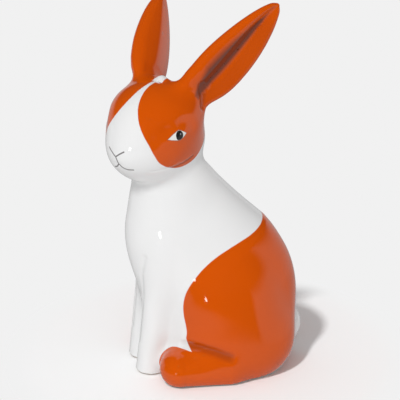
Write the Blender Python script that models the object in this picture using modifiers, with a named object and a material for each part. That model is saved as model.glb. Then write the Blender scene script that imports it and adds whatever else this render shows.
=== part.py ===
"""A seated rabbit statuette in glazed ceramic, at its real size, in metres with +Z up.

The rabbit looks along -Y with its head turned to its left, which is +X. It stands on
Z = 0, and the origin is on the ground at the middle of its underside.

The figure was cast in one piece, so it is one solid: round forms that flow into each
other. Each form's place and size below are shares of the figure's height, written as
millimetres on a drawing DRAWN_HEIGHT tall, and HEIGHT sets the real size. Blender's
primitives make a rough figure, which is remeshed into one skin. Each point of the skin
then settles on the blended forms.
"""

import math

import bmesh
import bpy
import numpy as np
from mathutils import Matrix, Vector

# Driving dimensions
HEIGHT = 0.300
DRAWN_HEIGHT = 291.0
UNIT = HEIGHT / DRAWN_HEIGHT

# Fineness of the skin and the most triangles that it may keep
COARSE_SKIN = 3.2
FINE_SKIN = 2.0
MOST_TRIANGLES = 9200
SETTLING_STEPS, MOST_SETTLING = 8, 3.0
BASE_ROUNDING = 2.0
BASE_FLATNESS = 0.3

# How far apart the two places are that a slope is taken from, and the least square of a
# slope that a step is divided by
SLOPE_REACH, LEAST_SLOPE = 0.05, 0.2

# Balls that rough out a limb, and the sides and rings of each ball
BALLS_A_LIMB = 7
BALL_SIDES, BALL_RINGS = 20, 12

# Rump, belly, hips, haunches and tail: centre and radii along X, Y and Z
RUMP_AT, RUMP_SIZE = (0, 13.4, 52.5), (44, 57.3, 73.6)
BELLY_AT, BELLY_SIZE = (0, -36, 36), (17, 16, 70)
HIP_AT, HIP_SIZE = (29, 14.5, 22), (29.6, 45, 33)
HAUNCH_AT, HAUNCH_SIZE, HAUNCH_PITCH = (27, 9.6, 49.1), (28, 36.5, 49), -3.6
TAIL_AT, TAIL_SIZE = (0, 62.1, 22.4), (11.9, 13.8, 16.4)

# Chest, neck and back
CHEST_AT, CHEST_SIZE, CHEST_PITCH = (0, -24.5, 109.5), (33, 42.2, 59.1), 3.6
NECK_FROM, NECK_TO, NECK_RADII = (0, -33.1, 153.1), (0, -41.9, 185.8), (22.8, 19.2)
BACK_FROM, BACK_TO, BACK_RADII = (0, -29.4, 163.5), (0, 11.3, 97.3), (19.1, 35.3)

# Legs and hind feet, on the rabbit's left and mirrored to its right
LEG_FROM, LEG_TO, LEG_RADII = (17, -38, 112), (14, -50.4, 1.1), (12.5, 12)
FOOT_TOE, FOOT_HEEL, FOOT_RADII = (40.4, -33.3, 11.5), (36.5, 2, 12.7), (15.2, 21.1)
FOOT_SPREAD = 1.15

# Head, placed by its own centre and turn, and its forms in its own axes
HEAD_AT, HEAD_YAW, HEAD_PITCH = (0, -37.1, 199.2), 39.1, 1.6
SKULL_AT, SKULL_SIZE = (0, -7.8, 9.7), (36, 34.9, 28.5)
MUZZLE_AT, MUZZLE_SIZE = (0, -27.6, -9.1), (20, 25.3, 19.1)
CHEEK_AT, CHEEK_SIZE = (6.5, -0.3, -15.3), (20, 31.6, 21.2)
POLL_AT, POLL_SIZE = (0, 1, 34), (4.8, 5, 6.5)

# An ear's root, mirrored for the right one, and the ways that each ear points and that its
# hollow face looks, in the head's own axes and drawn for the left side
EAR_ROOT = (22.5, 9.3, 28.4)
LEFT_EAR_POINTS, LEFT_EAR_FACES = (0.37, 0.67, 0.64), (0.95, -0.28, 0.16)
RIGHT_EAR_POINTS, RIGHT_EAR_FACES = (0.44, 0.77, 0.46), (0.83, 0.53, 0.15)
EAR_LENGTH, EAR_HALF_WIDTH, EAR_THICKNESS = 95.6, 20.1, 4.8
EAR_SWAY, EAR_SUNK = 2.0, 7.0

# An ear's outline as shares of its length and half width: where it is widest behind and
# ahead of its middle line, its width at the root, and how round and how blunt it narrows
EAR_WIDEST_BEHIND, EAR_WIDEST_AHEAD = 0.35, 0.27
EAR_ROOT_WIDTH, EAR_ROUNDNESS, EAR_BLUNTNESS = 0.76, 1.74, 0.68
EAR_TIP_WIDTH, EAR_TIP_THINNING = 0.15, 0.3

# The hollow down an ear's face: its depth, its place as a share of the half width, how far
# that drifts to the middle by the tip, how steeply it rises to either side, and where along
# the ear it is full
EAR_HOLLOW, EAR_HOLLOW_AT, EAR_HOLLOW_DRIFT = 6.4, 0.16, 0.60
EAR_HOLLOW_SPREADS = (0.40, 0.60)
EAR_HOLLOW_FULL_AT = 0.16

# How far an ear's back swells and its whole blade lifts where the hollow is full, how much
# thicker its rim is behind the hollow than ahead, and how sharply that changes
EAR_BACK, EAR_LIFT = 5.0, 2.2
RIM_DIFFERENCE, RIM_CHANGE = 0.2, 3

# How far past the rim, in half widths, an ear's section keeps its shape, and what the
# distance to the blade is shortened by, so that points near it settle gently
SECTION_REACH = 1.3
BLADE_STEP = 0.9

# How widely an ear's faces round over to its tip, and to its end inside the skull
TIP_ROUNDING, ROOT_ROUNDING = 6.0, 16.0

# Rows of balls along an ear and balls in a row, and how far along it the last row is
EAR_ROWS, BALLS_A_ROW, LAST_ROW_AT = 30, 9, 0.97

# How widely each form flows into those before it
RUMP_TO_CHEST, BACK_FLOW, NECK_FLOW, BELLY_FLOW = 30, 14, 20, 12
HIP_FLOW, HAUNCH_FLOW, LEG_FLOW, FOOT_FLOW, TAIL_FLOW = 24, 12, 7, 8, 3
MUZZLE_FLOW, CHEEK_FLOW, POLL_FLOW, EAR_FLOW, HEAD_FLOW = 24, 22, 4, 12, 8

GLAZE_WHITE = (0.86, 0.86, 0.85, 1.0)
GLAZE_ROUGHNESS = 0.12


def real(*drawn) -> np.ndarray:
    """Drawn sizes in metres."""
    return np.array(drawn, float) * UNIT


def turned(yaw: float = 0.0, pitch: float = 0.0) -> np.ndarray:
    """Axes nodded about X by pitch, then turned about Z by yaw, in degrees."""
    nod = Matrix.Rotation(math.radians(pitch), 3, "X")
    return np.array(Matrix.Rotation(math.radians(yaw), 3, "Z") @ nod)


def flow(first: np.ndarray, second: np.ndarray, width: float) -> np.ndarray:
    """Distance to two forms that flow into each other over the given width."""
    overlap = np.maximum(width - np.abs(first - second), 0) / width
    return np.minimum(first, second) - overlap * overlap * width / 4


class Egg:
    """An ellipsoid, pitched about X."""

    def __init__(self, at, size, pitch=0.0):
        self.at = real(*at)
        self.size = real(*size)
        self.axes = turned(pitch=pitch)

    def distance(self, points):
        local = (points - self.at) @ self.axes
        near = np.linalg.norm(local / self.size, axis=1)
        steep = np.linalg.norm(local / self.size**2, axis=1) + 1e-9
        return near * (near - 1) / steep

    def balls(self):
        """The primitive spheres that rough it out: place, axes and radii of each."""
        return [(self.at, self.axes, self.size)]


class Limb:
    """A rod with round ends whose radius changes evenly, widened along X by spread."""

    def __init__(self, start, end, radii, spread=1.0):
        self.start = real(*start)
        self.span = real(*end) - self.start
        self.radii = real(*radii)
        self.spread = spread

    def distance(self, points):
        share = np.clip((points - self.start) @ self.span / (self.span @ self.span), 0, 1)
        away = points - self.start - share[:, None] * self.span
        radius = self.radii[0] + (self.radii[1] - self.radii[0]) * share
        return np.linalg.norm(away / np.array([self.spread, 1, 1]), axis=1) - radius

    def balls(self):
        """The primitive spheres that rough it out: place, axes and radii of each."""
        found = []
        for share in np.linspace(0, 1, BALLS_A_LIMB):
            radius = self.radii[0] + (self.radii[1] - self.radii[0]) * share
            radii = radius * np.array([self.spread, 1, 1])
            found.append((self.start + share * self.span, np.eye(3), radii))
        return found


class Ear:
    """A leaf-shaped blade with a hollow down one face, rounded at its tip."""

    def __init__(self, points, faces):
        along = np.array(points, float)
        along /= np.linalg.norm(along)
        face = np.array(faces, float)
        face -= along * (face @ along)
        face /= np.linalg.norm(face)
        self.axes = np.stack([along, np.cross(along, face), face], axis=1)
        self.root = real(*EAR_ROOT)
        self.length, self.half_width, self.rim = real(EAR_LENGTH, EAR_HALF_WIDTH, EAR_THICKNESS)
        self.hollow, self.back, self.lift = real(EAR_HOLLOW, EAR_BACK, EAR_LIFT)
        self.sway, self.sunk = real(EAR_SWAY, EAR_SUNK)

    @staticmethod
    def outline(share, across):
        """Half the blade's width at a share of its length, against its greatest."""
        widest = np.where(across < 0, EAR_WIDEST_BEHIND, EAR_WIDEST_AHEAD)
        below = np.clip(share / widest, 0, 1)
        above = np.clip((share - widest) / (1 - widest), 0, 1)
        swelling = EAR_ROOT_WIDTH + (1 - EAR_ROOT_WIDTH) * np.sin(below * math.pi / 2)
        narrowing = (1 - above**EAR_ROUNDNESS + 1e-6) ** EAR_BLUNTNESS
        return np.maximum(np.where(share < widest, swelling, narrowing), EAR_TIP_WIDTH)

    def section(self, share, across):
        """Half width, half thickness and middle height of the blade, at points of it."""
        shape = self.outline(share, across)
        half = self.half_width * shape
        place = np.clip(across / half, -SECTION_REACH, SECTION_REACH)
        past = place - EAR_HOLLOW_AT + EAR_HOLLOW_DRIFT * np.clip(share, 0, 1) ** 2
        dip = np.exp(-((past / np.where(past < 0, *EAR_HOLLOW_SPREADS)) ** 2))
        rim = self.rim * (1 - EAR_TIP_THINNING * np.clip(share, 0, 1))
        rim = np.minimum(rim * (1 - RIM_DIFFERENCE * np.tanh(RIM_CHANGE * past)), half)
        full = shape * np.clip(share / EAR_HOLLOW_FULL_AT, 0, 1)
        front = rim - self.hollow * dip * full
        back = -rim - self.back * np.maximum(1 - place**2, 0) * full
        return half, (front - back) / 2, self.lift * full + (front + back) / 2

    def distance(self, points):
        local = (points - self.root) @ self.axes
        along, across, out = local[:, 0], local[:, 1], local[:, 2]
        share = along / self.length
        across = across - self.sway * np.sin(math.pi * np.clip(share, 0, 1))
        half, thick, middle = self.section(share, across)
        past_rim = np.maximum(np.abs(across) - (half - thick), 0)
        blade = BLADE_STEP * (np.hypot(past_rim, out - middle) - thick)
        blade = -flow(-blade, self.length - along, TIP_ROUNDING * UNIT)
        return -flow(-blade, along + self.sunk, ROOT_ROUNDING * UNIT)

    def balls(self):
        """The primitive spheres that rough it out: place, axes and radii of each."""
        found = []
        for share in np.linspace(0, LAST_ROW_AT, EAR_ROWS):
            for place in np.linspace(-1, 1, BALLS_A_ROW):
                at = np.array([share]), np.array([place * self.half_width])
                half, thick, _middle = self.section(*at)
                across = place * np.maximum(half - thick, 0)
                _half, thick, middle = self.section(at[0], across)
                sway = self.sway * math.sin(math.pi * share)
                centre = np.array([share * self.length, across[0] + sway, middle[0]])
                found.append((self.root + self.axes @ centre, self.axes, thick.repeat(3)))
        return found


# The sides that a form is on: +1 as drawn, and -1 mirrored
AS_DRAWN, MIRRORED, BOTH = (1,), (-1,), (1, -1)

# Each form with how widely it flows into those before it, and its sides
BODY = (
    (Egg(RUMP_AT, RUMP_SIZE), 1, AS_DRAWN),
    (Egg(CHEST_AT, CHEST_SIZE, CHEST_PITCH), RUMP_TO_CHEST, AS_DRAWN),
    (Limb(BACK_FROM, BACK_TO, BACK_RADII), BACK_FLOW, AS_DRAWN),
    (Limb(NECK_FROM, NECK_TO, NECK_RADII), NECK_FLOW, AS_DRAWN),
    (Egg(BELLY_AT, BELLY_SIZE), BELLY_FLOW, AS_DRAWN),
    (Egg(HIP_AT, HIP_SIZE), HIP_FLOW, BOTH),
    (Egg(HAUNCH_AT, HAUNCH_SIZE, HAUNCH_PITCH), HAUNCH_FLOW, BOTH),
    (Limb(LEG_FROM, LEG_TO, LEG_RADII), LEG_FLOW, BOTH),
    (Limb(FOOT_TOE, FOOT_HEEL, FOOT_RADII, FOOT_SPREAD), FOOT_FLOW, BOTH),
    (Egg(TAIL_AT, TAIL_SIZE), TAIL_FLOW, AS_DRAWN),
)
HEAD = (
    (Egg(SKULL_AT, SKULL_SIZE), 1, AS_DRAWN),
    (Egg(MUZZLE_AT, MUZZLE_SIZE), MUZZLE_FLOW, AS_DRAWN),
    (Egg(CHEEK_AT, CHEEK_SIZE), CHEEK_FLOW, BOTH),
    (Egg(POLL_AT, POLL_SIZE), POLL_FLOW, AS_DRAWN),
    (Ear(LEFT_EAR_POINTS, LEFT_EAR_FACES), EAR_FLOW, AS_DRAWN),
    (Ear(RIGHT_EAR_POINTS, RIGHT_EAR_FACES), EAR_FLOW, MIRRORED),
)
HEAD_AXES = turned(HEAD_YAW, HEAD_PITCH)


def joined(forms, points: np.ndarray) -> np.ndarray:
    """Distance to a list of forms, each flowing into those before it."""
    found = None
    for form, width, sides in forms:
        for side in sides:
            distance = form.distance(points * np.array([side, 1, 1]))
            found = distance if found is None else flow(found, distance, width * UNIT)
    return found


def rabbit_distance(points: np.ndarray) -> np.ndarray:
    """Distance of points to the whole rabbit, cut flat at the ground."""
    head = joined(HEAD, (points - real(*HEAD_AT)) @ HEAD_AXES)
    whole = flow(joined(BODY, points), head, HEAD_FLOW * UNIT)
    return -flow(-whole, points[:, 2], BASE_ROUNDING * UNIT)


def add_balls(bm, forms, at, axes) -> None:
    """Adds the spheres that rough out some forms, drawn in axes at a place."""
    one = bmesh.new()
    bmesh.ops.create_uvsphere(one, u_segments=BALL_SIDES, v_segments=BALL_RINGS, radius=1)
    sphere = bpy.data.meshes.new("sphere")
    one.to_mesh(sphere)
    one.free()
    for form, _width, sides in forms:
        for centre, own_axes, radii in form.balls():
            for side in sides:
                flip = np.diag([side, 1.0, 1.0])
                place = Matrix((axes @ flip @ own_axes * radii).tolist()).to_4x4()
                place.translation = Vector(at + axes @ flip @ centre)
                ball = sphere.copy()
                ball.transform(place)
                bm.from_mesh(ball)
                bpy.data.meshes.remove(ball)
    bmesh.ops.recalc_face_normals(bm, faces=bm.faces)


def with_modifier(mesh, kind: str, **settings):
    """A copy of a mesh with one modifier applied to it."""
    holder = bpy.data.objects.new("holder", mesh)
    bpy.context.scene.collection.objects.link(holder)
    modifier = holder.modifiers.new(kind, kind)
    for name, value in settings.items():
        setattr(modifier, name, value)
    graph = bpy.context.evaluated_depsgraph_get()
    made = bpy.data.meshes.new_from_object(holder.evaluated_get(graph))
    bpy.data.objects.remove(holder)
    bpy.data.meshes.remove(mesh)
    return made


def points_of(mesh) -> np.ndarray:
    """A mesh's points, one a row."""
    flat = np.empty(len(mesh.vertices) * 3, np.float32)
    mesh.vertices.foreach_get("co", flat)
    return flat.reshape(-1, 3).astype(float)


def settle(mesh) -> None:
    """Moves each point of a mesh straight onto the rabbit's surface."""
    points = points_of(mesh)
    reach = real(SLOPE_REACH)
    for _step in range(SETTLING_STEPS):
        distance = rabbit_distance(points)
        slope = np.stack(
            [(rabbit_distance(points + reach * axis) - distance) / reach for axis in np.eye(3)],
            axis=1,
        )
        move = distance / np.maximum((slope**2).sum(axis=1), LEAST_SLOPE)
        points -= np.clip(move, -MOST_SETTLING * UNIT, MOST_SETTLING * UNIT)[:, None] * slope
    mesh.vertices.foreach_set("co", points.astype(np.float32).ravel())
    mesh.update()


def flatten_underside(mesh) -> None:
    """Puts every point that is nearly on the ground on it, so that the base is one plane."""
    points = points_of(mesh)
    points[:, 2] = np.where(points[:, 2] < BASE_FLATNESS * UNIT, 0.0, points[:, 2])
    mesh.vertices.foreach_set("co", points.astype(np.float32).ravel())
    mesh.update()


def rabbit_mesh():
    """The rabbit's closed skin at its real size."""
    bm = bmesh.new()
    add_balls(bm, BODY, real(0, 0, 0), np.eye(3))
    add_balls(bm, HEAD, real(*HEAD_AT), HEAD_AXES)
    mesh = bpy.data.meshes.new("rough rabbit")
    bm.to_mesh(mesh)
    bm.free()
    for size in (COARSE_SKIN, FINE_SKIN):
        mesh = with_modifier(mesh, "REMESH", mode="VOXEL", voxel_size=size * UNIT)
        settle(mesh)
        mesh = with_modifier(mesh, "SMOOTH", factor=0.5, iterations=4)
        settle(mesh)
    mesh = with_modifier(mesh, "TRIANGULATE")
    mesh = with_modifier(mesh, "DECIMATE", ratio=MOST_TRIANGLES / len(mesh.polygons))
    flatten_underside(mesh)
    mesh.name = "rabbit"
    mesh.shade_smooth()
    return mesh


def glaze():
    """White glaze, glossy and smooth."""
    material = bpy.data.materials.new("glazed_ceramic")
    material.use_nodes = True
    shader = material.node_tree.nodes["Principled BSDF"]
    shader.inputs["Base Color"].default_value = GLAZE_WHITE
    shader.inputs["Roughness"].default_value = GLAZE_ROUGHNESS
    shader.inputs["Metallic"].default_value = 0.0
    return material


def main() -> None:
    """Clears the scene and builds the rabbit in a collection of its own."""
    for old in list(bpy.data.objects):
        bpy.data.objects.remove(old)
    statuette = bpy.data.collections.new("rabbit_statuette")
    bpy.context.scene.collection.children.link(statuette)
    rabbit = bpy.data.objects.new("rabbit", rabbit_mesh())
    rabbit.data.materials.append(glaze())
    statuette.objects.link(rabbit)


if __name__ == "__main__":
    main()
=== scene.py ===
"""The looks of a glazed ceramic rabbit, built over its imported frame.

The rabbit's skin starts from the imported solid, gets finer relief, and carries the painted
pattern as smooth values on its points. Sizes of the rabbit are in drawn millimetres, on a
drawing DRAWN_HEIGHT tall, as in the part. The head has axes of its own: X to the rabbit's
left, -Y where it looks, and Z up.
"""

import logging
import math
from dataclasses import dataclass
from enum import Enum

import bpy
import numpy as np
from mathutils import Matrix, Vector

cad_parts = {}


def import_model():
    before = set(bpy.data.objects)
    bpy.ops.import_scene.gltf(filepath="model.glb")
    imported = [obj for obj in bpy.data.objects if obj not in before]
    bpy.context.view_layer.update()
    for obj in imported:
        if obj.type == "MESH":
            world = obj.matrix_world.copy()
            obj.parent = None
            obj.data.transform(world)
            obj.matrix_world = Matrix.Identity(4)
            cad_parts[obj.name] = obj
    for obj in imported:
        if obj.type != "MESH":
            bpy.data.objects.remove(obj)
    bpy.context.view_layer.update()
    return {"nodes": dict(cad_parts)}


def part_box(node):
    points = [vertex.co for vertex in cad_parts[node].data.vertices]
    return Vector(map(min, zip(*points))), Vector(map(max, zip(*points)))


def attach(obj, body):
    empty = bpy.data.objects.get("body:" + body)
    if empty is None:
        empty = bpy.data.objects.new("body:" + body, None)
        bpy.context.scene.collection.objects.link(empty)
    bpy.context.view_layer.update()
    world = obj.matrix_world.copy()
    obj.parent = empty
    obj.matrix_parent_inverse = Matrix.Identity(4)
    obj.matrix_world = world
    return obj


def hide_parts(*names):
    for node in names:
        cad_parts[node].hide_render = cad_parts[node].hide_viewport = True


LOG = logging.getLogger("rabbit")

HEIGHT = 0.300
DRAWN_HEIGHT = 291.0
UNIT = HEIGHT / DRAWN_HEIGHT

NODE = "rabbit"
BODY = "root"
SLOT = "glazed_ceramic"

SKIN_VOXEL = 1.27

Colour = tuple[float, float, float, float]
Socket = bpy.types.NodeSocket
Value = bpy.types.NodeSocket | float | tuple[float, ...]


def turned(yaw: float = 0.0, pitch: float = 0.0) -> np.ndarray:
    """Axes nodded about X by pitch, then turned about Z by yaw, in degrees."""
    nod = Matrix.Rotation(math.radians(pitch), 3, "X")
    return np.array(Matrix.Rotation(math.radians(yaw), 3, "Z") @ nod)


def flow(first: np.ndarray, second: np.ndarray, width: float) -> np.ndarray:
    """Distance to two forms that flow into each other over the given width."""
    overlap = np.maximum(width - np.abs(first - second), 0) / width
    return np.minimum(first, second) - overlap * overlap * width / 4


def shown(strength: np.ndarray) -> np.ndarray:
    """A strength kept between 0 and 1."""
    return np.clip(strength, 0, 1)


def mirrored(points: np.ndarray, side: int) -> np.ndarray:
    """Points as seen from one side: unchanged for +1, mirrored in X for -1."""
    return points * np.array([side, 1, 1])


class Sides(Enum):
    """The sides that a form is on."""

    AS_DRAWN = (1,)
    MIRRORED = (-1,)
    BOTH = (1, -1)


class Group(Enum):
    """What a form belongs to, where the paint or the shade asks."""

    TRUNK = "trunk"
    FOOT = "foot"
    TAIL = "tail"
    SKULL = "skull"
    EAR = "ear"


@dataclass(frozen=True)
class Egg:
    """An ellipsoid, pitched about X."""

    at: tuple[float, float, float]
    size: tuple[float, float, float]
    pitch: float = 0.0

    def distance(self, points: np.ndarray) -> np.ndarray:
        """Distance of points to the surface, negative inside.

        Args:
            points: Points, one a row.

        Returns:
            Distance of each point, negative inside.
        """
        size = np.array(self.size, float)
        local = (points - np.array(self.at)) @ turned(pitch=self.pitch)
        near = np.linalg.norm(local / size, axis=1)
        steep = np.linalg.norm(local / size**2, axis=1) + 1e-9
        return near * (near - 1) / steep


@dataclass(frozen=True)
class Limb:
    """A rod with round ends whose radius changes evenly, widened along X by spread."""

    start: tuple[float, float, float]
    end: tuple[float, float, float]
    radii: tuple[float, float]
    spread: float = 1.0

    def distance(self, points: np.ndarray) -> np.ndarray:
        """Distance of points to the surface, negative inside.

        Args:
            points: Points, one a row.

        Returns:
            Distance of each point, negative inside.
        """
        start = np.array(self.start, float)
        span = np.array(self.end, float) - start
        share = np.clip((points - start) @ span / (span @ span), 0, 1)
        away = points - start - share[:, None] * span
        radius = self.radii[0] + (self.radii[1] - self.radii[0]) * share
        return np.linalg.norm(away / np.array([self.spread, 1, 1]), axis=1) - radius


@dataclass(frozen=True)
class EarShape:
    """The sizes that both ears share, drawn for the left one.

    Where the ear is widest and where the hollow starts are shares of its length. Widths at
    the root and tip, and the hollow's place, drift and spreads, are shares of the half width.
    """

    root: tuple[float, float, float] = (22.5, 9.3, 28.4)
    length: float = 95.6
    half_width: float = 20.1
    thickness: float = 4.8
    sway: float = 2.0
    sunk: float = 7.0
    widest_behind: float = 0.35
    widest_ahead: float = 0.27
    root_width: float = 0.76
    roundness: float = 1.74
    bluntness: float = 0.68
    tip_width: float = 0.15
    tip_thinning: float = 0.3
    tip_rounding: float = 6.0
    root_rounding: float = 16.0
    hollow: float = 6.4
    hollow_at: float = 0.16
    hollow_drift: float = 0.60
    hollow_spread_behind: float = 0.40
    hollow_spread_ahead: float = 0.60
    hollow_starts: float = 0.16
    lift: float = 2.2
    back_bulge: float = 5.0
    rim_difference: float = 0.2
    rim_change: float = 3.0
    section_reach: float = 1.3
    blade_step: float = 0.9


@dataclass(frozen=True)
class PooledGlazeShadeWall:
    """Where pooled glaze and painted shade darken the steep side of an ear's hollow, and faintly
    the flank beyond it.

    Places along the ear are shares of its length, and those across it of its half width.
    """

    width: float = 1.0
    root_width: float = 0.45
    least_width: float = 0.3
    widening: float = 2.5
    past_deepest: float = 0.16
    ends: float = 0.92
    narrowing_power: float = 3.0
    least_narrowing: float = 0.02
    foot_fade: float = 6.0
    top: float = 1.05
    top_fade: float = 3.0
    root_start: float = 0.6
    root_fade: float = 12.0
    tip_fade: float = 8.0
    # How dark the painted shade on the flank beyond the wall is.
    flank_shade: float = 0.16


@dataclass(frozen=True)
class Ear:
    """A leaf-shaped blade with a hollow down one face, rounded at its tip."""

    points_to: tuple[float, float, float]
    faces: tuple[float, float, float]
    shape: EarShape = EarShape()
    pooled_shade_sizes: PooledGlazeShadeWall = PooledGlazeShadeWall()

    def axes(self) -> np.ndarray:
        """Axes along the ear, across it and out of its hollow face, as columns.

        Returns:
            The three axes in the head's axes.
        """
        along = np.array(self.points_to, float)
        along /= np.linalg.norm(along)
        face = np.array(self.faces, float)
        face -= along * (face @ along)
        face /= np.linalg.norm(face)
        return np.stack([along, np.cross(along, face), face], axis=1)

    def local(self, points: np.ndarray) -> tuple[np.ndarray, np.ndarray, np.ndarray]:
        """Share of the length, distance across from the middle line, and distance out.

        Args:
            points: Points in the head's axes, one a row.

        Returns:
            The three values of each point.
        """
        local = (points - np.array(self.shape.root)) @ self.axes()
        share = local[:, 0] / self.shape.length
        sway = self.shape.sway * np.sin(math.pi * np.clip(share, 0, 1))
        return share, local[:, 1] - sway, local[:, 2]

    def outline(self, share: np.ndarray, across: np.ndarray) -> np.ndarray:
        """Half the blade's width at a share of its length, against its greatest.

        Args:
            share: Shares of the length.
            across: Distances across, behind where negative.

        Returns:
            The shares, never less than the tip's.
        """
        form = self.shape
        widest = np.where(across < 0, form.widest_behind, form.widest_ahead)
        below = np.clip(share / widest, 0, 1)
        above = np.clip((share - widest) / (1 - widest), 0, 1)
        swelling = form.root_width + (1 - form.root_width) * np.sin(below * math.pi / 2)
        narrowing = (1 - above**form.roundness + 1e-6) ** form.bluntness
        return np.maximum(np.where(share < widest, swelling, narrowing), form.tip_width)

    def deepest(self, share: np.ndarray) -> np.ndarray:
        """Where across the blade the hollow is deepest, nearer the middle at the tip."""
        return self.shape.hollow_at - self.shape.hollow_drift * np.clip(share, 0, 1) ** 2

    def dip(self, share: np.ndarray, place: np.ndarray) -> np.ndarray:
        """How deep in the hollow a place across the blade is, from 0 to 1.

        Args:
            share: Shares of the length.
            place: Shares of the half width.

        Returns:
            1 where the hollow is deepest.
        """
        form = self.shape
        past = place - self.deepest(share)
        spread = np.where(past < 0, form.hollow_spread_behind, form.hollow_spread_ahead)
        return np.exp(-((past / spread) ** 2))

    def steep_side_shade(self, points: np.ndarray) -> np.ndarray:
        """How strongly pooled glaze and painted shade darken each point on the steep side of the
        hollow, from 0 to 1.

        Args:
            points: Points in the head's axes, one a row.

        Returns:
            The strength of each point.
        """
        form, pooled_shade_sizes = self.shape, self.pooled_shade_sizes
        share, across, out = self.local(points)
        place = across / (form.half_width * self.outline(share, across))
        narrowing = 1 - (share / pooled_shade_sizes.ends) ** pooled_shade_sizes.narrowing_power
        widening = np.clip(pooled_shade_sizes.root_width + pooled_shade_sizes.widening * share, pooled_shade_sizes.least_width, 1)
        wide = pooled_shade_sizes.width * np.clip(narrowing, pooled_shade_sizes.least_narrowing, 1) * widening
        up_wall = (self.deepest(share) + pooled_shade_sizes.past_deepest - place) / wide
        inside = shown(up_wall * pooled_shade_sizes.foot_fade) * shown((pooled_shade_sizes.top - up_wall) * pooled_shade_sizes.top_fade)
        flank = pooled_shade_sizes.flank_shade * shown(-up_wall * pooled_shade_sizes.foot_fade)
        ends = shown(share * pooled_shade_sizes.root_fade + pooled_shade_sizes.root_start)
        ends = ends * shown((pooled_shade_sizes.ends - share) * pooled_shade_sizes.tip_fade)
        return np.maximum(inside, flank) * ends * (out > -form.thickness)

    def distance(self, points: np.ndarray) -> np.ndarray:
        """Distance of points to the surface, negative inside.

        Args:
            points: Points in the head's axes, one a row.

        Returns:
            Distance of each point, negative inside.
        """
        form = self.shape
        share, across, out = self.local(points)
        wide = self.outline(share, across)
        half = form.half_width * wide
        place = np.clip(across / half, -form.section_reach, form.section_reach)
        rim = form.thickness * (1 - form.tip_thinning * np.clip(share, 0, 1))
        behind = np.tanh(form.rim_change * (self.deepest(share) - place))
        rim = np.minimum(rim * (1 + form.rim_difference * behind), half)
        starts = wide * np.clip(share / form.hollow_starts, 0, 1)
        front = rim - form.hollow * self.dip(share, place) * starts
        back = -rim - form.back_bulge * np.maximum(1 - place**2, 0) * starts
        middle = form.lift * starts + (front + back) / 2
        thick = (front - back) / 2
        past_rim = np.maximum(np.abs(across) - (half - thick), 0)
        blade = form.blade_step * (np.hypot(past_rim, out - middle) - thick)
        blade = -flow(-blade, (1 - share) * form.length, form.tip_rounding)
        return -flow(-blade, share * form.length + form.sunk, form.root_rounding)


@dataclass(frozen=True)
class Placed:
    """A form with how widely it flows into those before it, its sides and its group."""

    form: Egg | Limb | Ear
    width: float
    sides: Sides = Sides.AS_DRAWN
    group: Group = Group.TRUNK


@dataclass(frozen=True)
class Touch:
    """A soft dent in the clay, or a soft swelling where its depth is negative."""

    at: tuple[float, float, float]
    size: tuple[float, float, float]
    depth: float
    sides: Sides = Sides.AS_DRAWN

    def raise_by(self, points: np.ndarray) -> np.ndarray:
        """What the touch adds to the distance of each point.

        Args:
            points: Points, one a row.

        Returns:
            What is added, positive for a dent.
        """
        total = np.zeros(len(points))
        for side in self.sides.value:
            local = (mirrored(points, side) - np.array(self.at)) / np.array(self.size)
            total += self.depth * np.exp(-(local**2).sum(axis=1))
        return total


@dataclass(frozen=True)
class Crease:
    """A line pressed into the clay, darkened by the given share with pooled glaze and painted
    shade.
    """

    path: tuple[tuple[float, float, float], ...]
    width: float
    depth: float
    sides: Sides = Sides.BOTH
    # How much pooled glaze and painted shade darken the line.
    pooled_glaze_and_shade: float = 0.0

    def nearness(self, points: np.ndarray) -> np.ndarray:
        """1 on the line, falling to 0 away from it.

        Args:
            points: Points, one a row.

        Returns:
            The nearness of each point.
        """
        nearest = np.full(len(points), np.inf)
        for side in self.sides.value:
            local = mirrored(points, side)
            for start, end in zip(self.path, self.path[1:], strict=False):
                nearest = np.minimum(nearest, Limb(start, end, (0, 0)).distance(local))
        return np.exp(-((nearest / self.width) ** 2))

    def raise_by(self, points: np.ndarray) -> np.ndarray:
        """What the crease adds to the distance of each point."""
        return self.depth * self.nearness(points)


@dataclass(frozen=True)
class Forms:
    """A list of forms, with the touches and creases in them."""

    placed: tuple[Placed, ...]
    touches: tuple[Touch | Crease, ...] = ()

    def joined(self, points: np.ndarray, groups: tuple[Group, ...]) -> np.ndarray:
        """Distance to the forms of some groups, each flowing into those before it.

        Args:
            points: Points, one a row.
            groups: The groups that count.

        Returns:
            Distance of each point, negative inside.
        """
        found = None
        for placed in self.placed:
            if placed.group not in groups:
                continue
            for side in placed.sides.value:
                distance = placed.form.distance(mirrored(points, side))
                found = distance if found is None else flow(found, distance, placed.width)
        return found

    def distance(self, points: np.ndarray) -> np.ndarray:
        """Distance to all the forms, touches included.

        Args:
            points: Points, one a row.

        Returns:
            Distance of each point, negative inside.
        """
        found = self.joined(points, tuple(Group))
        for touch in self.touches:
            found = found + touch.raise_by(points)
        return found


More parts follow.
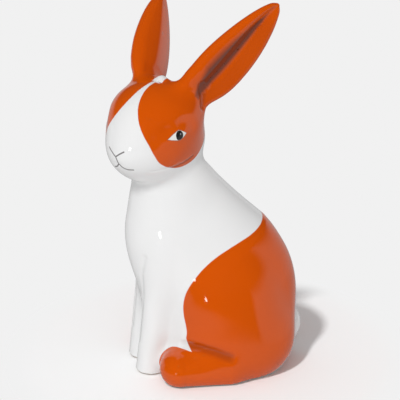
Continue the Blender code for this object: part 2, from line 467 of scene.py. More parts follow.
@dataclass(frozen=True)
class Trunk(Forms):
    """Everything below the head, in the statuette's own axes."""

    placed: tuple[Placed, ...] = (
        Placed(Egg((0, 13.4, 52.5), (44, 57.3, 73.6)), 1),
        Placed(Egg((0, -24.5, 109.5), (33, 42.2, 59.1), 3.6), 30),
        Placed(Limb((0, -29.4, 163.5), (0, 11.3, 97.3), (19.1, 35.3)), 14),
        Placed(Limb((0, -33.1, 153.1), (0, -41.9, 185.8), (22.8, 19.2)), 20),
        Placed(Egg((0, -36, 36), (17, 16, 70)), 12),
        Placed(Egg((29.0, 14.5, 22), (29.6, 45.0, 33)), 24, Sides.BOTH),
        Placed(Egg((27, 9.6, 49.1), (28, 36.5, 49), -3.6), 12, Sides.BOTH),
        Placed(Limb((17, -38, 112), (14, -50.4, 1.1), (12.5, 12)), 7, Sides.BOTH),
        Placed(
            Limb((40.4, -33.3, 11.5), (36.5, 2, 12.7), (15.2, 21.1), 1.15),
            8,
            Sides.BOTH,
            Group.FOOT,
        ),
        Placed(Egg((0, 62.1, 22.4), (11.9, 13.8, 16.4)), 3, group=Group.TAIL),
    )
    touches: tuple[Touch | Crease, ...] = (
        # The haunch's front crease, darkened with pooled glaze and painted shade.
        Crease(
            ((40, -29, 31), (44, -25, 32.2), (50, -17, 32), (55, -8, 29.8), (59, 3, 25.4)),
            3.2,
            2.4,
            pooled_glaze_and_shade=0.5,
        ),
        Crease(((21, -56, 100), (16, -58, 84), (14.3, -57, 63), (14, -60, 27)), 2.2, 0.9),
        Touch((46, -13, 73), (16, 16, 20), -2.2, Sides.BOTH),
    )


@dataclass(frozen=True)
class Head(Forms):
    """The head and ears, in the head's own axes."""

    at: tuple[float, float, float] = (0, -37.1, 199.2)
    yaw: float = 39.1
    pitch: float = 1.6
    placed: tuple[Placed, ...] = (
        Placed(Egg((0, -7.8, 9.7), (36, 34.9, 28.5)), 1, group=Group.SKULL),
        Placed(Egg((0, -27.6, -9.1), (20, 25.3, 19.1)), 24, group=Group.SKULL),
        Placed(Egg((6.5, -0.3, -15.3), (20, 31.6, 21.2)), 22, Sides.BOTH, Group.SKULL),
        Placed(Egg((0, 1, 34), (4.8, 5, 6.5)), 4, group=Group.SKULL),
        Placed(Ear((0.37, 0.67, 0.64), (0.95, -0.28, 0.16)), 12, group=Group.EAR),
        Placed(Ear((0.44, 0.77, 0.46), (0.83, 0.53, 0.15)), 12, Sides.MIRRORED, Group.EAR),
    )

    touches: tuple[Touch | Crease, ...] = (
        Touch((23, -39, 5), (6, 6, 6), 0.8, Sides.BOTH),
        Touch((29.5, -29, 12), (7, 7, 5), 1.3, Sides.BOTH),
        Touch((34, -15, 16), (7, 7, 5), 1.3, Sides.BOTH),
        Touch((36, -8, 11), (5, 5, 6), 1.0, Sides.BOTH),
        Touch((34, -21, 6), (6, 7, 4), -1.0, Sides.BOTH),
        Touch((28, -22, -10), (10, 10, 8), -0.8, Sides.BOTH),
        Touch((0, -52, -14), (4, 6, 1.6), 0.5),
        # The cheek crease, darkened with pooled glaze and painted shade.
        Crease(
            ((20, -38.5, -20.5), (27, -27, -19.8), (30.5, -15, -19), (31, -2, -16.5)),
            1.0,
            0.35,
            pooled_glaze_and_shade=0.7,
        ),
        # The crease at the ear's root, darkened with pooled glaze and painted shade.
        Crease(((29.3, 12, 36), (29.4, 14.5, 27), (30.8, 12, 19)), 3.0, 1.6, pooled_glaze_and_shade=0.7),
        Crease(((-4, -7, 38.4), (0, -6, 38.4), (5, -4, 37.8)), 1.2, 0.8),
    )

    def axes(self) -> np.ndarray:
        """The head's axes, as columns."""
        return turned(self.yaw, self.pitch)

    def local(self, points: np.ndarray) -> np.ndarray:
        """Points of the statuette in the head's axes."""
        return (points - np.array(self.at)) @ self.axes()


@dataclass(frozen=True)
class Rabbit:
    """The whole figure: its forms, as one surface."""

    trunk: Trunk = Trunk()
    head: Head = Head()
    head_flow: float = 8.0
    base_rounding: float = 2.0
    slope_reach: float = 0.05
    least_slope: float = 0.2
    longest_step: float = 3.0

    def distance(self, points: np.ndarray) -> np.ndarray:
        """Distance of points to the surface, negative inside, cut flat at the ground.

        Args:
            points: Points, one a row.

        Returns:
            Distance of each point, negative inside.
        """
        head = self.head.distance(self.head.local(points))
        whole = flow(self.trunk.distance(points), head, self.head_flow)
        return -flow(-whole, points[:, 2], self.base_rounding)

    def slope(self, points: np.ndarray, distance: np.ndarray) -> np.ndarray:
        """The way that the distance grows at each point.

        Args:
            points: Points, one a row.
            distance: Distance of each point.

        Returns:
            The slope at each point, one a row.
        """
        reach = self.slope_reach
        steps = [self.distance(points + reach * axis) - distance for axis in np.eye(3)]
        return np.stack(steps, axis=1) / reach

    def settle(self, points: np.ndarray, steps: int) -> np.ndarray:
        """Points moved straight onto the surface.

        Args:
            points: Points, one a row.
            steps: How often each point moves.

        Returns:
            The moved points.
        """
        for _step in range(steps):
            distance = self.distance(points)
            slope = self.slope(points, distance)
            move = distance / np.maximum((slope**2).sum(axis=1), self.least_slope)
            move = np.clip(move, -self.longest_step, self.longest_step)
            points = points - move[:, None] * slope
        return points


@dataclass(frozen=True)
class Pattern:
    """The painted pattern, as signed distances that are positive in the orange.

    The stripe's half widths are at heights in the head's axes. The haunch patch's edge is at
    radii around hip_centre, by angle in degrees up from straight ahead, seen from the side.
    """

    stripe_heights: tuple[float, ...] = (40, 36, 30, 22, 14, 7, 0, -8, -16)
    stripe_half_widths: tuple[float, ...] = (0.9, 2.2, 5.2, 9.4, 14.2, 18.4, 21.8, 24.2, 25.2)
    stripe_degree: int = 5
    stripe_span: tuple[float, float] = (-18.0, 40.0)
    patch_lowest: float = -22.4
    patch_lowest_at: float = -11.0
    patch_curve: float = 0.0135
    patch_corner: float = 3.5
    poll_from: float = -6.0
    poll_to: float = 18.0
    poll_half_width: float = 4.6
    hip_centre: tuple[float, float] = (25.0, 50.0)
    hip_angles: tuple[float, ...] = (-13, 4, 14, 33, 51, 65, 78, 90, 99, 104, 112)
    hip_radii: tuple[float, ...] = (54.3, 54.1, 55.5, 58.3, 59, 59.7, 61.7, 64.9, 68.9, 73, 84)
    hip_degree: int = 6
    hip_angle_wraps: float = -100.0

    def stripe(self, local: np.ndarray) -> np.ndarray:
        """Half the white stripe's width on the face and between the ears.

        Args:
            local: Points in the head's axes, one a row.

        Returns:
            Half the width at each point.
        """
        curve = np.polyfit(self.stripe_heights, self.stripe_half_widths, self.stripe_degree)
        front = np.polyval(curve, np.clip(local[:, 2], *self.stripe_span))
        along = (local[:, 1] - self.poll_from) / (self.poll_to - self.poll_from)
        behind = self.poll_half_width * (1 - np.clip(along, 0, 2) ** 2)
        return np.where(local[:, 1] < self.poll_from, front, behind)

    def head(self, local: np.ndarray) -> np.ndarray:
        """The orange patches on the sides of the head.

        Args:
            local: Points in the head's axes, one a row.

        Returns:
            Signed distances, positive in the patches.
        """
        side = np.abs(local[:, 0]) - self.stripe(local)
        lift = self.patch_curve * (local[:, 1] - self.patch_lowest_at) ** 2
        above = local[:, 2] - self.patch_lowest - lift
        return flow(side, above, self.patch_corner)

    def hip(self, points: np.ndarray) -> np.ndarray:
        """The orange haunch and rump, seen from the side.

        Args:
            points: Points in the statuette's axes, one a row.

        Returns:
            Signed distances, positive in the orange.
        """
        ahead = self.hip_centre[0] - points[:, 1]
        up = points[:, 2] - self.hip_centre[1]
        angle = np.degrees(np.arctan2(up, ahead))
        angle = np.where(angle < self.hip_angle_wraps, angle + 360, angle)
        first, last = self.hip_angles[0], self.hip_angles[-1]
        curve = np.polyfit(self.hip_angles, self.hip_radii, self.hip_degree)
        radius = np.polyval(curve, np.clip(angle, first, last))
        return radius + np.maximum(angle - last, 0) - np.hypot(ahead, up)


def value_on_points(mesh: bpy.types.Mesh, name: str, values: np.ndarray) -> None:
    """Stores one number, or three, on each point of a mesh.

    Args:
        mesh: The mesh.
        name: The attribute's name, for the shader to read.
        values: One value or one row of three a point.
    """
    kind, key = ("FLOAT", "value") if values.ndim == 1 else ("FLOAT_VECTOR", "vector")
    attribute = mesh.attributes.new(name, kind, "POINT")
    attribute.data.foreach_set(key, values.astype(np.float32).ravel())


def points_of(mesh: bpy.types.Mesh) -> np.ndarray:
    """A mesh's points, one a row.

    Args:
        mesh: The mesh.

    Returns:
        Its points in metres.
    """
    flat = np.empty(len(mesh.vertices) * 3, np.float32)
    mesh.vertices.foreach_get("co", flat)
    return flat.reshape(-1, 3).astype(float)


def put_points(mesh: bpy.types.Mesh, points: np.ndarray) -> None:
    """Moves a mesh's points."""
    mesh.vertices.foreach_set("co", points.astype(np.float32).ravel())
    mesh.update()


def with_modifier(mesh: bpy.types.Mesh, kind: str, **settings: object) -> bpy.types.Mesh:
    """A copy of a mesh with one modifier applied to it.

    Args:
        mesh: The mesh, which isn't changed.
        kind: The modifier's kind.
        settings: The modifier's settings.

    Returns:
        The new mesh.
    """
    holder = bpy.data.objects.new("holder", mesh)
    bpy.context.scene.collection.objects.link(holder)
    modifier = holder.modifiers.new(kind, kind)
    for name, value in settings.items():
        setattr(modifier, name, value)
    graph = bpy.context.evaluated_depsgraph_get()
    made = bpy.data.meshes.new_from_object(holder.evaluated_get(graph))
    bpy.data.objects.remove(holder)
    return made


@dataclass(frozen=True)
class Skin:
    """The rabbit's fine skin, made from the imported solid."""

    rabbit: Rabbit
    pattern: Pattern
    voxel: float
    shrink: float = 0.998
    rounds: int = 2
    steps: int = 4
    smoothing: float = 0.5
    smoothing_rounds: int = 2

    def mesh(self, solid: bpy.types.Mesh) -> bpy.types.Mesh:
        """The skin as a mesh.

        Args:
            solid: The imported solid's mesh, which isn't changed.

        Returns:
            A closed mesh with the paint's values on its points.
        """
        mesh = with_modifier(solid.copy(), "REMESH", mode="VOXEL", voxel_size=self.voxel * UNIT)
        for _round in range(self.rounds):
            put_points(mesh, self.rabbit.settle(points_of(mesh) / UNIT, self.steps) * UNIT)
            mesh = with_modifier(
                mesh, "SMOOTH", factor=self.smoothing, iterations=self.smoothing_rounds
            )
        drawn = self.rabbit.settle(points_of(mesh) / UNIT, self.steps)
        normals = self.rabbit.slope(drawn, self.rabbit.distance(drawn))
        low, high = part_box(NODE)
        real = drawn * UNIT * self.shrink
        put_points(mesh, np.clip(real, np.array(low), np.array(high)))
        self.paint(mesh, drawn)
        mesh.shade_smooth()
        length = np.maximum(np.linalg.norm(normals, axis=1), 1e-6)[:, None]
        mesh.normals_split_custom_set_from_vertices(normals / length)
        return mesh

    def paint(self, mesh: bpy.types.Mesh, drawn: np.ndarray) -> None:
        """Stores what the glaze asks of each point.

        Args:
            mesh: The skin.
            drawn: Its points in drawn millimetres, before it shrinks.
        """
        trunk, head = self.rabbit.trunk, self.rabbit.head
        local = head.local(drawn)
        rest = trunk.joined(drawn, (Group.TRUNK,))
        feet = trunk.joined(drawn, (Group.FOOT,))
        foot = rest - feet
        tail = np.minimum(rest, feet) - trunk.joined(drawn, (Group.TAIL,))
        skull = head.joined(local, (Group.SKULL,))
        ears = head.joined(local, (Group.EAR,))
        on_head = trunk.distance(drawn) - np.minimum(skull, ears)
        body = np.minimum(np.maximum(self.pattern.hip(drawn), foot), -tail)
        face = np.maximum(self.pattern.head(local), skull - ears)
        value_on_points(mesh, "orange", np.where(on_head > 0, face, body))
        value_on_points(mesh, "face", local)
        # How strongly pooled glaze and painted shade darken the ear hollows' steep walls and the
        # creases.
        wall_shade = sum(
            placed.form.steep_side_shade(mirrored(local, side))
            for placed in head.placed
            if placed.group is Group.EAR
            for side in placed.sides.value
        )
        pooled_glaze_and_shade = np.where(skull > ears, wall_shade, 0.0)
        for forms, at in ((trunk, drawn), (head, local)):
            for crease in forms.touches:
                if isinstance(crease, Crease):
                    pooled_glaze_and_shade = np.maximum(pooled_glaze_and_shade, crease.pooled_glaze_and_shade * crease.nearness(at))
        value_on_points(mesh, "pooled_glaze_and_shade", pooled_glaze_and_shade)


class Graph:
    """A short way to add nodes to a material or a world."""

    def __init__(self, tree: bpy.types.NodeTree) -> None:
        """Keeps the node tree that the nodes go to."""
        self.tree = tree

    def add(self, kind: str) -> bpy.types.Node:
        """A new node."""
        return self.tree.nodes.new(kind)

    def put(self, socket: Socket, value: Value) -> None:
        """Links an output to a socket, or sets the socket's constant.

        Args:
            socket: The input.
            value: An output or a constant.
        """
        if isinstance(value, Socket):
            self.tree.links.new(value, socket)
        else:
            socket.default_value = value

    def math(self, operation: str, *values: Value, clamp: bool = False) -> Socket:
        """A Math node's result.

        Args:
            operation: The operation's name.
            values: Its inputs in order.
            clamp: Whether it keeps between 0 and 1.

        Returns:
            The result.
        """
        node = self.add("ShaderNodeMath")
        node.operation = operation
        node.use_clamp = clamp
        for socket, value in zip(node.inputs, values, strict=False):
            self.put(socket, value)
        return node.outputs[0]

    def vector(self, operation: str, *values: Value) -> Socket:
        """A Vector Math node's result, a number where the operation gives one.

        Args:
            operation: The operation's name.
            values: Its inputs in order.

        Returns:
            The result.
        """
        node = self.add("ShaderNodeVectorMath")
        node.operation = operation
        for socket, value in zip(node.inputs, values, strict=False):
            self.put(socket, value)
        return node.outputs[1 if operation in ("DOT_PRODUCT", "LENGTH", "DISTANCE") else 0]

    def scaled(self, vector: Value, by: Value) -> Socket:
        """A vector times a number.

        Args:
            vector: The vector.
            by: The number.

        Returns:
            The scaled vector.
        """
        node = self.add("ShaderNodeVectorMath")
        node.operation = "SCALE"
        self.put(node.inputs["Vector"], vector)
        self.put(node.inputs["Scale"], by)
        return node.outputs[0]

    def stored(self, name: str) -> bpy.types.Node:
        """The node that reads a value stored on the points.

        Args:
            name: The attribute's name.

        Returns:
            The node.
        """
        node = self.add("ShaderNodeAttribute")
        node.attribute_name = name
        return node

    def noise(self, at: Value, scale: float, detail: float = 2.0) -> Socket:
        """Noise around zero, from about -1 to 1.

        Args:
            at: The place.
            scale: How fine it is.
            detail: How many finer layers it has.

        Returns:
            The noise.
        """
        node = self.add("ShaderNodeTexNoise")
        self.put(node.inputs["Vector"], at)
        node.inputs["Scale"].default_value = scale
        node.inputs["Detail"].default_value = detail
        return self.math("MULTIPLY_ADD", node.outputs["Fac"], 2.0, -1.0)

    def ramp(self, value: Value, low: float, high: float) -> Socket:
        """A smooth step from 0 at low to 1 at high.

        Args:
            value: The number.
            low: Where it is 0.
            high: Where it is 1, which may be the lower one.

        Returns:
            The step.
        """
        node = self.add("ShaderNodeMapRange")
        node.interpolation_type = "SMOOTHSTEP"
        self.put(node.inputs["Value"], value)
        node.inputs["From Min"].default_value = low
        node.inputs["From Max"].default_value = high
        return node.outputs["Result"]

    def mix(self, share: Value, first: Value, second: Value) -> Socket:
        """The first colour at share 0, and the second at share 1.

        Args:
            share: From 0 to 1.
            first: A colour.
            second: Another colour.

        Returns:
            The mixed colour.
        """
        node = self.add("ShaderNodeMix")
        node.data_type = "RGBA"
        self.put(node.inputs["Factor"], share)
        self.put(node.inputs["A"], first)
        self.put(node.inputs["B"], second)
        return node.outputs["Result"]


def towards(azimuth: float, elevation: float) -> Vector:
    """The way from the object towards an azimuth and elevation, in degrees."""
    a, e = math.radians(azimuth), math.radians(elevation)
    return Vector((math.sin(a) * math.cos(e), -math.cos(a) * math.cos(e), math.sin(e)))


@dataclass(frozen=True)
class Eye:
    """The painted left and right eyes, in the head's axes, drawn for the left."""

    at: tuple[float, float, float] = (33.6, -21.0, 6.4)
    along: tuple[float, float, float] = (0.335, 0.940, 0.058)
    tilt: float = 0.13
    reach_ahead: float = 9.4
    reach_behind: float = 6.4
    pointedness: float = 1.35
    upper: float = 4.3
    lower: float = 3.1
    pupil_at: tuple[float, float] = (0.0, 0.4)
    pupil_size: tuple[float, float] = (3.1, 3.7)
    glint_at: tuple[float, float] = (0.9, 1.4)
    glint_size: tuple[float, float] = (0.6, 0.7)
    dot_edge: tuple[float, float] = (1.12, 0.88)
    beside: tuple[float, float] = (24.0, 26.0)
    lid_edge: tuple[float, float] = (-0.25, 0.25)
    rim_edge: tuple[float, float] = (-0.9, -0.1)
    rim_strength: float = 0.55


@dataclass(frozen=True)
class Strokes:
    """The thin lines of the nose and mouth, as seen from the front of the head."""

    width: float = 0.52
    soft: float = 0.25
    strength: float = 0.92
    fades_ahead: tuple[float, float] = (-42.0, -44.0)
    far: float = 99.0
    lines: tuple[tuple[tuple[float, float], ...], ...] = (
        ((-9.2, -2.8), (-4.9, -5.3), (-1.3, -7.9)),
        ((5.8, -2.9), (2.4, -5.1), (-1.3, -7.9)),
        ((-1.3, -7.9), (-0.2, -10.5), (0.3, -13.6)),
        ((0.3, -13.6), (2.3, -15.6), (4.4, -17.1), (7.0, -17.9), (10.5, -17.8)),
        ((0.3, -13.6), (-1.6, -16.2), (-5.6, -18.3)),
    )


@dataclass(frozen=True)
class Glaze:
    """Glossy glaze over the white body and the orange and black paint, with brown for pooled glaze
    and painted shade.
    """

    white: Colour = (0.78, 0.78, 0.78, 1.0)
    orange: Colour = (0.62, 0.084, 0.0006, 1.0)
    deep_orange: Colour = (0.44, 0.048, 0.0006, 1.0)
    # Dark brown for pooled glaze and painted shade in the ear hollows and creases.
    pooled_glaze_and_shade: Colour = (0.17, 0.032, 0.012, 1.0)
    line: Colour = (0.11, 0.10, 0.10, 1.0)
    black: Colour = (0.012, 0.012, 0.012, 1.0)
    eye_white: Colour = (0.74, 0.73, 0.70, 1.0)
    glint: Colour = (0.20, 0.20, 0.21, 1.0)
    roughness: float = 0.07
    ior: float = 1.52
    edge_softness: float = 0.30
    wobble: float = 0.35
    wobble_scale: float = 70.0
    cloud_scale: float = 22.0
    evenness: float = 0.75
    gloss_change: float = 0.02
    gloss_scale: float = 30.0
    clay: Colour = (0.50, 0.45, 0.39, 1.0)
    clay_roughness: float = 0.75
    bare_below: float = 0.0012
    bare_fade: float = 0.0003
    bare_raggedness: float = 0.0004
    bare_scale: float = 300.0
    ripple: float = 0.05
    ripple_depth: float = 0.001
    ripple_scale: float = 45.0

    def line_share(self, graph: Graph, flat: Value, strokes: Strokes) -> Socket:
        """How much of the thin lines' paint is at a point of the face.

        Args:
            graph: The material.
            flat: The point in the head's axes with its Y left out.
            strokes: The lines.

        Returns:
            0 off the lines and 1 on them.
        """
        nearest: Value = strokes.far
        for line in strokes.lines:
            for start, end in zip(line, line[1:], strict=False):
                span = (end[0] - start[0], 0.0, end[1] - start[1])
                squared = span[0] ** 2 + span[2] ** 2
                away = graph.vector("SUBTRACT", flat, (start[0], 0.0, start[1]))
                dot = graph.vector("DOT_PRODUCT", away, span)
                share = graph.math("DIVIDE", dot, squared, clamp=True)
                off = graph.vector("SUBTRACT", away, graph.scaled(span, share))
                nearest = graph.math("MINIMUM", nearest, graph.vector("LENGTH", off))
        return graph.ramp(nearest, strokes.width + strokes.soft, strokes.width - strokes.soft)

    def ellipse(
        self,
        graph: Graph,
        place: tuple[Value, Value],
        at: tuple[float, float],
        size: tuple[float, float],
        edge: tuple[float, float],
    ) -> Socket:
        """A painted dot of the eye.

        Args:
            graph: The material.
            place: The point along the eye and up from it.
            at: The dot's middle, along and up.
            size: Its radii, along and up.
            edge: Where its squared distance fades out and in.

        Returns:
            1 inside the dot and 0 outside.
        """
        squares = []
        for socket, middle, radius in zip(place, at, size, strict=True):
            away = graph.math("DIVIDE", graph.math("SUBTRACT", socket, middle), radius)
            squares.append(graph.math("MULTIPLY", away, away))
        return graph.ramp(graph.math("ADD", *squares), *edge)

    def with_eye(self, graph: Graph, face: Value, colour: Value, eye: Eye) -> Socket:
        """The colour with the eyes painted over it.

        Args:
            graph: The material.
            face: The point in the head's axes.
            colour: The colour below.
            eye: The eyes' sizes.

        Returns:
            The new colour.
        """
        folded = graph.vector("ABSOLUTE", face)
        parts = graph.add("ShaderNodeSeparateXYZ")
        graph.put(parts.inputs[0], face)
        sides = graph.add("ShaderNodeSeparateXYZ")
        graph.put(sides.inputs[0], folded)
        joined = graph.add("ShaderNodeCombineXYZ")
        graph.put(joined.inputs[0], sides.outputs[0])
        graph.put(joined.inputs[1], parts.outputs[1])
        graph.put(joined.inputs[2], parts.outputs[2])
        away = graph.vector("SUBTRACT", joined.outputs[0], eye.at)
        along = graph.vector("DOT_PRODUCT", away, eye.along)
        level = graph.math("MULTIPLY_ADD", along, eye.tilt, eye.at[2])
        up = graph.math("SUBTRACT", parts.outputs[2], level)
        ahead = graph.math("DIVIDE", along, -eye.reach_ahead)
        share = graph.math("MAXIMUM", ahead, graph.math("DIVIDE", along, eye.reach_behind))
        arch = graph.math("SUBTRACT", 1.0, graph.math("POWER", share, eye.pointedness))
        below_lid = graph.math("SUBTRACT", graph.math("MULTIPLY", arch, eye.upper), up)
        above_lid = graph.math("ADD", graph.math("MULTIPLY", arch, eye.lower), up)
        inside = graph.math("MINIMUM", below_lid, above_lid)
        beside = graph.ramp(sides.outputs[0], *eye.beside)
        open_eye = graph.math("MULTIPLY", graph.ramp(inside, *eye.lid_edge), beside)
        rim = graph.math("MULTIPLY", graph.ramp(inside, *eye.rim_edge), beside)
        colour = graph.mix(graph.math("MULTIPLY", rim, eye.rim_strength), colour, self.line)
        colour = graph.mix(open_eye, colour, self.eye_white)
        pupil = self.ellipse(graph, (along, up), eye.pupil_at, eye.pupil_size, eye.dot_edge)
        colour = graph.mix(graph.math("MULTIPLY", pupil, open_eye), colour, self.black)
        glint = self.ellipse(graph, (along, up), eye.glint_at, eye.glint_size, eye.dot_edge)
        return graph.mix(graph.math("MULTIPLY", glint, open_eye), colour, self.glint)

    def painted(self, graph: Graph, place: Socket) -> Socket:
        """The colours under the glaze.

        Args:
            graph: The material.
            place: The point in the object's own axes.

        Returns:
            White, orange with its brown for pooled glaze and painted shade in hollows and creases,
            thin lines and eyes.
        """
        strokes = Strokes()
        face = graph.stored("face").outputs["Vector"]
        orange = graph.stored("orange").outputs["Fac"]
        wobble = graph.noise(place, self.wobble_scale)
        edge = graph.math("MULTIPLY_ADD", wobble, self.wobble, orange)
        share = graph.ramp(edge, -self.edge_softness, self.edge_softness)
        clouds = graph.ramp(graph.noise(place, self.cloud_scale, 3.0), -1.0, 1.0)
        paint = graph.mix(clouds, self.deep_orange, self.orange)
        paint = graph.mix(self.evenness, paint, self.orange)
        # Brown of pooled glaze and painted shade over the ear hollows' steep walls and the creases.
        paint = graph.mix(graph.stored("pooled_glaze_and_shade").outputs["Fac"], paint, self.pooled_glaze_and_shade)
        colour = graph.mix(share, self.white, paint)
        flat = graph.vector("MULTIPLY", face, (1.0, 0.0, 1.0))
        parts = graph.add("ShaderNodeSeparateXYZ")
        graph.put(parts.inputs[0], face)
        ahead = graph.ramp(parts.outputs[1], *strokes.fades_ahead)
        lines = graph.math("MULTIPLY", self.line_share(graph, flat, strokes), ahead)
        colour = graph.mix(graph.math("MULTIPLY", lines, strokes.strength), colour, self.line)
        return self.with_eye(graph, face, colour, Eye())

    def bare_share(self, graph: Graph, place: Socket) -> Socket:
        """How bare the clay is: 1 at the foot's rim, which the glaze leaves out, else 0.

        Args:
            graph: The material.
            place: The point in the object's own axes.

        Returns:
            The share.
        """
        height = graph.vector("DOT_PRODUCT", place, (0.0, 0.0, 1.0))
        ragged = graph.noise(place, self.bare_scale)
        ragged = graph.math("MULTIPLY_ADD", ragged, self.bare_raggedness, height)
        return graph.ramp(ragged, self.bare_below + self.bare_fade, self.bare_below)

    def material(self) -> bpy.types.Material:
        """The glaze as a material.

        Returns:
            A glossy material that reads the paint's values from the skin's points.
        """
        material = bpy.data.materials.new(SLOT)
        material.use_nodes = True
        graph = Graph(material.node_tree)
        shader = material.node_tree.nodes["Principled BSDF"]
        place = graph.add("ShaderNodeTexCoord").outputs["Object"]
        colour = self.painted(graph, place)
        bare = self.bare_share(graph, place)
        graph.put(shader.inputs["Base Color"], graph.mix(bare, colour, self.clay))
        rough = graph.noise(place, self.gloss_scale)
        rough = graph.math("MULTIPLY_ADD", rough, self.gloss_change, self.roughness)
        gap = self.clay_roughness - self.roughness
        graph.put(shader.inputs["Roughness"], graph.math("MULTIPLY_ADD", bare, gap, rough))
        bump = graph.add("ShaderNodeBump")
        bump.inputs["Strength"].default_value = self.ripple
        bump.inputs["Distance"].default_value = self.ripple_depth
        graph.put(bump.inputs["Height"], graph.noise(place, self.ripple_scale, 3.0))
        graph.put(shader.inputs["Normal"], bump.outputs["Normal"])
        shader.inputs["IOR"].default_value = self.ior
        return material


@dataclass(frozen=True)
class Lamp:
    """A distant lamp, with what it shows in: the shading, or only the gloss."""

    azimuth: float
    elevation: float
    strength: float
    angle: float
    in_shading: bool = True

    def add(self, name: str) -> bpy.types.Object:
        """The lamp, put in the scene.

        Args:
            name: The lamp's name.

        Returns:
            The lamp.
        """
        data = bpy.data.lights.new(name, "SUN")
        data.energy = self.strength
        data.angle = math.radians(self.angle)
        lamp = bpy.data.objects.new(name, data)
        lamp.rotation_mode = "QUATERNION"
        lamp.rotation_quaternion = (-towards(self.azimuth, self.elevation)).to_track_quat("-Z", "Y")
        lamp.visible_diffuse = self.in_shading
        lamp.visible_glossy = not self.in_shading
        bpy.context.scene.collection.objects.link(lamp)
        return lamp


class Lit(Enum):
    """What a lamp lights, where one object is named."""

    ONLY_IT = "INCLUDE"
    ALL_BUT_IT = "EXCLUDE"


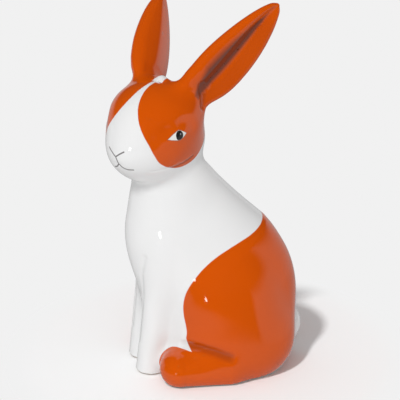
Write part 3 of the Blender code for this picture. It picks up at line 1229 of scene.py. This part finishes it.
@dataclass(frozen=True)
class Studio:
    """A plain pale floor, soft light from all round, and a key lamp high on the left."""

    floor_size: float = 40.0
    floor_level: float = 0.879
    shadows_fade: tuple[float, float] = (0.135, 0.170)
    floor_colour: Colour = (0.93, 0.93, 0.93, 1.0)
    floor_roughness: float = 0.9
    key: Lamp = Lamp(60.0, 44.0, 1.87, 14.0)
    floor_key: Lamp = Lamp(43.0, 55.0, 1.84, 5.0)
    fill: Lamp = Lamp(74.0, 10.0, 0.34, 70.0)
    overhead: Lamp = Lamp(0.0, 90.0, 1.30, 165.0)
    glints: tuple[Lamp, ...] = (Lamp(51.0, 2.0, 0.15, 6.0, in_shading=False),)
    sky: float = 0.60
    ground: float = 0.46
    room: float = 0.03
    room_azimuth: float = 52.0
    room_half_width: float = 82.0
    room_low: float = -12.0
    room_over: float = 7.0
    soft_edge: float = 5.0

    def floor(self) -> bpy.types.Object:
        """The paper floor, where shadows fade out away from the object.

        Returns:
            The floor, left out of the gloss, which the world's own ground stands in for.
        """
        bpy.ops.mesh.primitive_plane_add(size=self.floor_size)
        floor = bpy.context.object
        floor.name = "floor"
        floor.data.materials.append(self.paper())
        floor.visible_glossy = False
        return floor

    def paper(self) -> bpy.types.Material:
        """Matt pale paper, evenly bright away from the object.

        Returns:
            The material.
        """
        material = bpy.data.materials.new("floor")
        material.use_nodes = True
        graph = Graph(material.node_tree)
        matt = material.node_tree.nodes["Principled BSDF"]
        matt.inputs["Base Color"].default_value = self.floor_colour
        matt.inputs["Roughness"].default_value = self.floor_roughness
        matt.inputs["Specular IOR Level"].default_value = 0.0
        even = graph.add("ShaderNodeEmission")
        even.inputs["Color"].default_value = (*[self.floor_level] * 3, 1.0)
        place = graph.add("ShaderNodeTexCoord").outputs["Object"]
        away = graph.ramp(graph.vector("LENGTH", place), *self.shadows_fade)
        both = graph.add("ShaderNodeMixShader")
        graph.put(both.inputs[0], away)
        graph.put(both.inputs[1], matt.outputs[0])
        graph.put(both.inputs[2], even.outputs[0])
        graph.put(material.node_tree.nodes["Material Output"].inputs["Surface"], both.outputs[0])
        return material

    def light_only(self, lamp: bpy.types.Object, thing: bpy.types.Object, lit: Lit) -> None:
        """Lets a lamp light one object only, or all but it.

        Args:
            lamp: The lamp.
            thing: The object.
            lit: Which of the two.
        """
        group = bpy.data.collections.new(lamp.name)
        group.objects.link(thing)
        group.collection_objects[0].light_linking.link_state = lit.value
        lamp.light_linking.receiver_collection = group

    def lamps(self, floor: bpy.types.Object) -> None:
        """The key lamps, one for the floor, the fill lamps and small ones for the glints.

        Args:
            floor: The paper floor, which has a key lamp of its own.
        """
        self.light_only(self.key.add("key"), floor, Lit.ALL_BUT_IT)
        self.light_only(self.floor_key.add("floor_key"), floor, Lit.ONLY_IT)
        self.fill.add("fill")
        self.overhead.add("overhead")
        for index, glint in enumerate(self.glints):
            glint.add(f"glint_{index}")

    def world(self) -> None:
        """Even light from all round, but for the dark room that the camera stands in."""
        world = bpy.data.worlds.new("studio")
        world.use_nodes = True
        bpy.context.scene.world = world
        graph = Graph(world.node_tree)
        back = world.node_tree.nodes["Background"]
        back.inputs["Color"].default_value = (1.0, 1.0, 1.0, 1.0)
        way = graph.add("ShaderNodeTexCoord").outputs["Generated"]
        up = graph.vector("DOT_PRODUCT", way, (0.0, 0.0, 1.0))
        level = graph.vector("NORMALIZE", graph.vector("MULTIPLY", way, (1.0, 1.0, 0.0)))
        facing = graph.vector("DOT_PRODUCT", level, tuple(towards(self.room_azimuth, 0.0)))
        over_ground = self.edge(graph, up, self.room_low)
        beside = self.edge(graph, facing, 90 - self.room_half_width)
        inside = graph.math("MULTIPLY", beside, over_ground)
        inside = graph.math("MAXIMUM", inside, self.edge(graph, up, self.room_over))
        ground = graph.math("MULTIPLY", over_ground, self.sky - self.ground)
        light = graph.math("ADD", ground, self.ground)
        dimmed = graph.math("MULTIPLY", graph.math("SUBTRACT", light, self.room), inside)
        graph.put(back.inputs["Strength"], graph.math("SUBTRACT", light, dimmed))

    def edge(self, graph: Graph, sine: Value, angle: float) -> Socket:
        """A smooth step where a sine passes that of an angle in degrees."""
        low = math.sin(math.radians(angle - self.soft_edge))
        return graph.ramp(sine, low, math.sin(math.radians(angle + self.soft_edge)))


@dataclass(frozen=True)
class View:
    """The camera at the photograph's viewing angle."""

    azimuth: float = 77.003
    elevation: float = 22.282
    away: float = 1500.0
    looks_at: tuple[float, float, float] = (-2.0, -6.792, 134.086)
    scale: float = 1.28205
    width: int = 400
    clip: tuple[float, float] = (0.05, 50.0)

    def camera(self) -> bpy.types.Object:
        """The scene's camera.

        Returns:
            The camera.
        """
        data = bpy.data.cameras.new("camera")
        data.lens = data.sensor_width * self.scale * self.away / self.width
        camera = bpy.data.objects.new("camera", data)
        back = towards(self.azimuth, self.elevation)
        camera.location = (Vector(self.looks_at) + back * self.away) * UNIT
        camera.rotation_mode = "QUATERNION"
        camera.rotation_quaternion = (-back).to_track_quat("-Z", "Y")
        data.clip_start, data.clip_end = self.clip
        bpy.context.scene.collection.objects.link(camera)
        bpy.context.scene.camera = camera
        return camera


def main() -> None:
    """Builds the rabbit, its glaze, the studio and the camera."""
    logging.basicConfig(level=logging.INFO, format="%(name)s: %(message)s")
    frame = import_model()
    voxel = SKIN_VOXEL
    skin = Skin(Rabbit(), Pattern(), voxel)
    mesh = skin.mesh(frame["nodes"][NODE].data)
    rabbit = bpy.data.objects.new("rabbit_skin", mesh)
    bpy.context.scene.collection.objects.link(rabbit)
    mesh.materials.clear()
    mesh.materials.append(Glaze().material())
    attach(rabbit, BODY)
    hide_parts(NODE)
    LOG.info("rabbit: %d points, %d faces", len(mesh.vertices), len(mesh.polygons))
    studio = Studio()
    studio.lamps(studio.floor())
    studio.world()
    View().camera()
    bpy.context.scene.view_settings.view_transform = "Standard"
    LOG.info("studio and camera placed")


if __name__ == "__main__":
    main()
